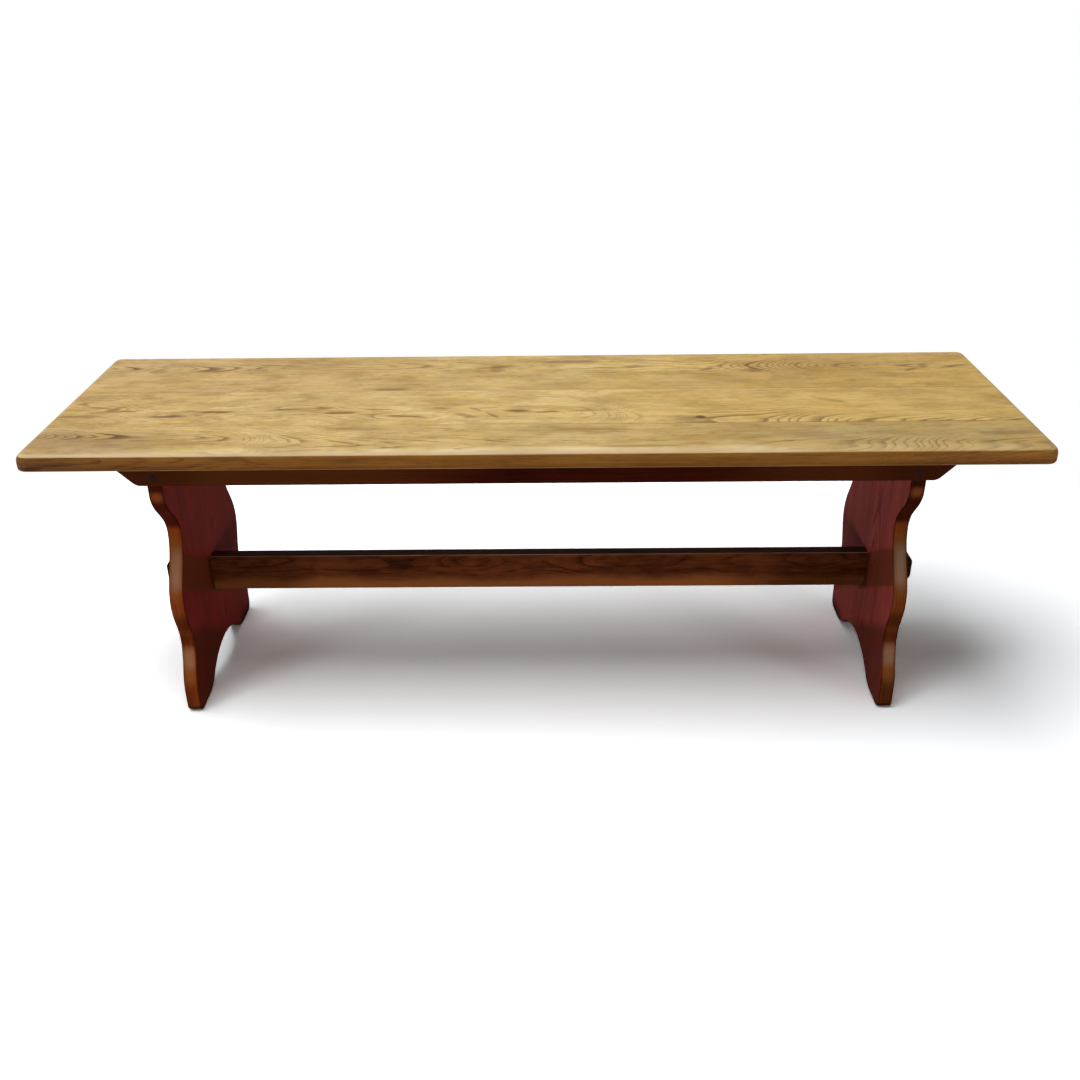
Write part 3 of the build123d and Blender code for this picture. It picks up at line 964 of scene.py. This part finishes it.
stretcherLook = {
    "pithAcross": -0.045, "pithHeight": 0.16,
    "ringWidth": 0.0026, "wander": 0.016, "gaps": 0.9, "seed": 33.0,
    "stain": {
        "light": paint(118, 61, 31), "deep": paint(88, 42, 19),
        "band": paint(48, 18, 7), "pore": paint(26, 9, 4),
        "bandStrength": 0.75, "ringTone": 0.4, "rayStrength": 0.2, "poreStrength": 0.6,
    },
    "straying": {"perMetre": (8.0, 30.0, 30.0), "seedShift": 0.0, "edge": (0.35, 0.65)},
    "mottled": {"perMetre": (30.0, 90.0, 90.0), "seedShift": 2.0, "edge": (0.42, 0.60)},
    "mottleTint": (0.70, 0.65, 0.62),
    "lower": paint(164, 96, 50),
    "lowerEdge": (0.010, 0.026),
    "lowerStraying": 0.006,
    "lowerRun": (0.22, 0.34, 1.0, 0.3),  # it fades towards the right
    "lowerCover": 0.7,
    # painted shade on its top face, under the bench top
    "top": paint(74, 52, 42),
    "shadedTopTurn": (0.8, 0.97),
    "shadedTopCover": 0.6,
    # dust and a painted highlight along the upper front arris
    "dustAndSheen": paint(178, 148, 122),
    "dustAndSheenTurn": (0.15, 0.45, 0.8, 0.97),
    "dustAndSheenStrength": 0.7,
    "dustAndSheenPatches": (0.0, 1.0, 0.5, 1.0),
    "tenonDepths": (0.012, 0.002),       # below the end panels' outer faces
    "tenonTint": (0.30, 0.32, 0.36),     # darker from there outwards
}


def stretcherMaterial():
    look = stretcherLook
    material, tree, shader = newMaterial("stretcher_oak")
    coordinates, spot, facing = placeAndFacing(tree)
    grain = grainOf(tree, look, coordinates)
    strayed = blotches(tree, coordinates, look["seed"], look["straying"])
    colour = oakColour(tree, grain, look["stain"])
    mottled = blotches(tree, coordinates, look["seed"], look["mottled"])
    colour = tinted(tree, mottled, colour, look["mottleTint"])

    fromBelow = less(tree, spot["Z"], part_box("stretcher")[0].z)
    fromBelow = plusShare(tree, fromBelow, strayed, look["lowerStraying"])
    lower = fade(tree, fromBelow, *look["lowerEdge"])
    lower = product(tree, lower, ease(tree, spot["X"], *look["lowerRun"]))
    colour = washed(tree, lower, colour, look["lower"], look["lowerCover"])
    # painted shade on the top face
    upward = ease(tree, facing["Z"], *look["shadedTopTurn"])
    colour = washed(tree, upward, colour, look["top"], look["shadedTopCover"])

    # dust and a painted highlight along the upper front arris
    dustAndSheen = product(tree, between(tree, facing["Z"], *look["dustAndSheenTurn"]), look["dustAndSheenStrength"],
                   ease(tree, strayed, *look["dustAndSheenPatches"]))
    colour = mixColour(tree, dustAndSheen, colour, look["dustAndSheen"])
    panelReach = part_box("end_panel_right")[1].x
    places = [panelReach - depth for depth in look["tenonDepths"]]
    tenon = ease(tree, unsigned(tree, spot["X"]), *places)
    colour = tinted(tree, tenon, colour, look["tenonTint"])
    oakSurface(tree, shader, grain, colour, stainedFinish)
    return material


finishNode("stretcher", stretcherMaterial())
print("stretcher finished")


# Screws: dull steel, spotted with age

screwLook = {
    "nodes": ["top_screws", "panel_screws"],
    "steel": paint(150, 146, 138),
    "metallic": 0.9,
    "roughness": 0.38,
    "seed": 3.0,
    "spots": {"perMetre": (900.0, 900.0, 900.0), "seedShift": 0.0, "edge": (0.5, 0.65)},
    "spotted": paint(84, 66, 52),
    "spotRoughness": 0.35,
    "feel": 0.3,
    "depth": 0.0001,
}


def screwMaterial():
    look = screwLook
    material, tree, shader = newMaterial("screw_steel")
    coordinates = addNode(tree, "TexCoord").outputs
    spots = blotches(tree, coordinates, look["seed"], look["spots"])
    colour = mixColour(tree, spots, look["steel"], look["spotted"])
    tree.links.new(colour, shader.inputs["Base Color"])
    rough = plusShare(tree, look["roughness"], spots, look["spotRoughness"])
    tree.links.new(rough, shader.inputs["Roughness"])
    shader.inputs["Metallic"].default_value = look["metallic"]
    feltAs(tree, shader, spots, look["feel"], look["depth"])
    return material


screwSteel = screwMaterial()
for name in screwLook["nodes"]:
    finishNode(name, screwSteel)
print("screws finished")


# Floor, background and lamps

floorLook = {
    "half": 40.0,                 # half of its side
    "paleness": 0.65,             # what the lamps and the bench see
    "shown": (2.20, 2.28, 2.34),  # what the camera sees, so that only the shadow is below white
    "clear": (0.74, 1.25),        # it turns plain white between these distances from the middle
}

studioLook = {
    "ambient": 0.05,     # the light from all round
    "background": 1.0,   # the white that shows behind
    "aimHeight": 0.3,    # where the lamps point, above the middle of the floor
}

lamps = {
    "keyLamp": {"place": (-0.68, -0.125, 2.5), "size": 2.7, "power": 64.0},
    "leftFill": {"place": (-2.4, -2.0, 0.16), "size": 0.4, "power": 26.0},
    "rightFill": {"place": (2.4, -2.0, 0.16), "size": 0.4, "power": 23.0},
}

white = (1, 1, 1, 1)


def makeFloor():
    side = 2 * floorLook["half"]
    bpy.ops.mesh.primitive_plane_add(size=side, location=(0, 0, benchLow.z))
    floor = bpy.context.object
    floor.name = "floor"
    material = bpy.data.materials.new("paleFloor")
    material.use_nodes = True
    tree = material.node_tree
    tree.nodes.clear()
    byCamera = addNode(tree, "LightPath").outputs["Is Camera Ray"]
    plain = (floorLook["paleness"],) * 3
    colour = mixColour(tree, byCamera, plain, floorLook["shown"])
    matt = addNode(tree, "BsdfDiffuse", {"Color": colour}).outputs[0]
    inputs = {"Color": white, "Strength": studioLook["background"]}
    clean = addNode(tree, "Emission", inputs).outputs[0]
    away = lengthOf(tree, addNode(tree, "TexCoord").outputs["Object"])
    clear = product(tree, ease(tree, away, *floorLook["clear"]), byCamera)
    mixed = addNode(tree, "MixShader", {0: clear, 1: matt, 2: clean}).outputs[0]
    addNode(tree, "OutputMaterial", {"Surface": mixed})
    floor.data.materials.append(material)


def makeWorld():
    world = bpy.data.worlds.new("studio")
    world.use_nodes = True
    tree = world.node_tree
    tree.nodes.clear()
    seen = addNode(tree, "LightPath").outputs
    direct = maths(tree, "ADD", seen["Is Camera Ray"], seen["Is Glossy Ray"], clamp=True)
    direct = maths(tree, "ADD", direct, seen["Is Transmission Ray"], clamp=True)
    inputs = {"Value": direct, "To Min": studioLook["ambient"], "To Max": studioLook["background"]}
    strength = addNode(tree, "MapRange", inputs).outputs["Result"]
    sky = addNode(tree, "Background", {"Color": white, "Strength": strength}).outputs[0]
    addNode(tree, "OutputWorld", {"Surface": sky})
    bpy.context.scene.world = world


def makeLamp(name, look):
    light = bpy.data.lights.new(name, "AREA")
    light.shape = "SQUARE"
    light.size = look["size"]
    light.energy = look["power"]
    lamp = bpy.data.objects.new(name, light)
    lamp.location = look["place"]
    aim = Vector((0, 0, studioLook["aimHeight"])) - lamp.location
    lamp.rotation_euler = aim.to_track_quat("-Z", "Y").to_euler()
    bpy.context.scene.collection.objects.link(lamp)


makeFloor()
makeWorld()
for name, look in lamps.items():
    makeLamp(name, look)
print("floor and lamps in place")


# Camera, from the photograph's viewpoint

cameraLook = {
    "place": (0.0224, -1.4058, 0.9110),
    "turn": (62.7351, 0.6633, 0.4432),
    "lens": 38.186,
    "sensor": 36.0,
}


def makeCamera():
    data = bpy.data.cameras.new("camera")
    data.lens = cameraLook["lens"]
    data.sensor_width = cameraLook["sensor"]
    camera = bpy.data.objects.new("camera", data)
    camera.location = cameraLook["place"]
    camera.rotation_euler = [math.radians(angle) for angle in cameraLook["turn"]]
    bpy.context.scene.collection.objects.link(camera)
    bpy.context.scene.camera = camera


makeCamera()
bpy.context.scene.view_settings.view_transform = "Standard"
print("camera set")
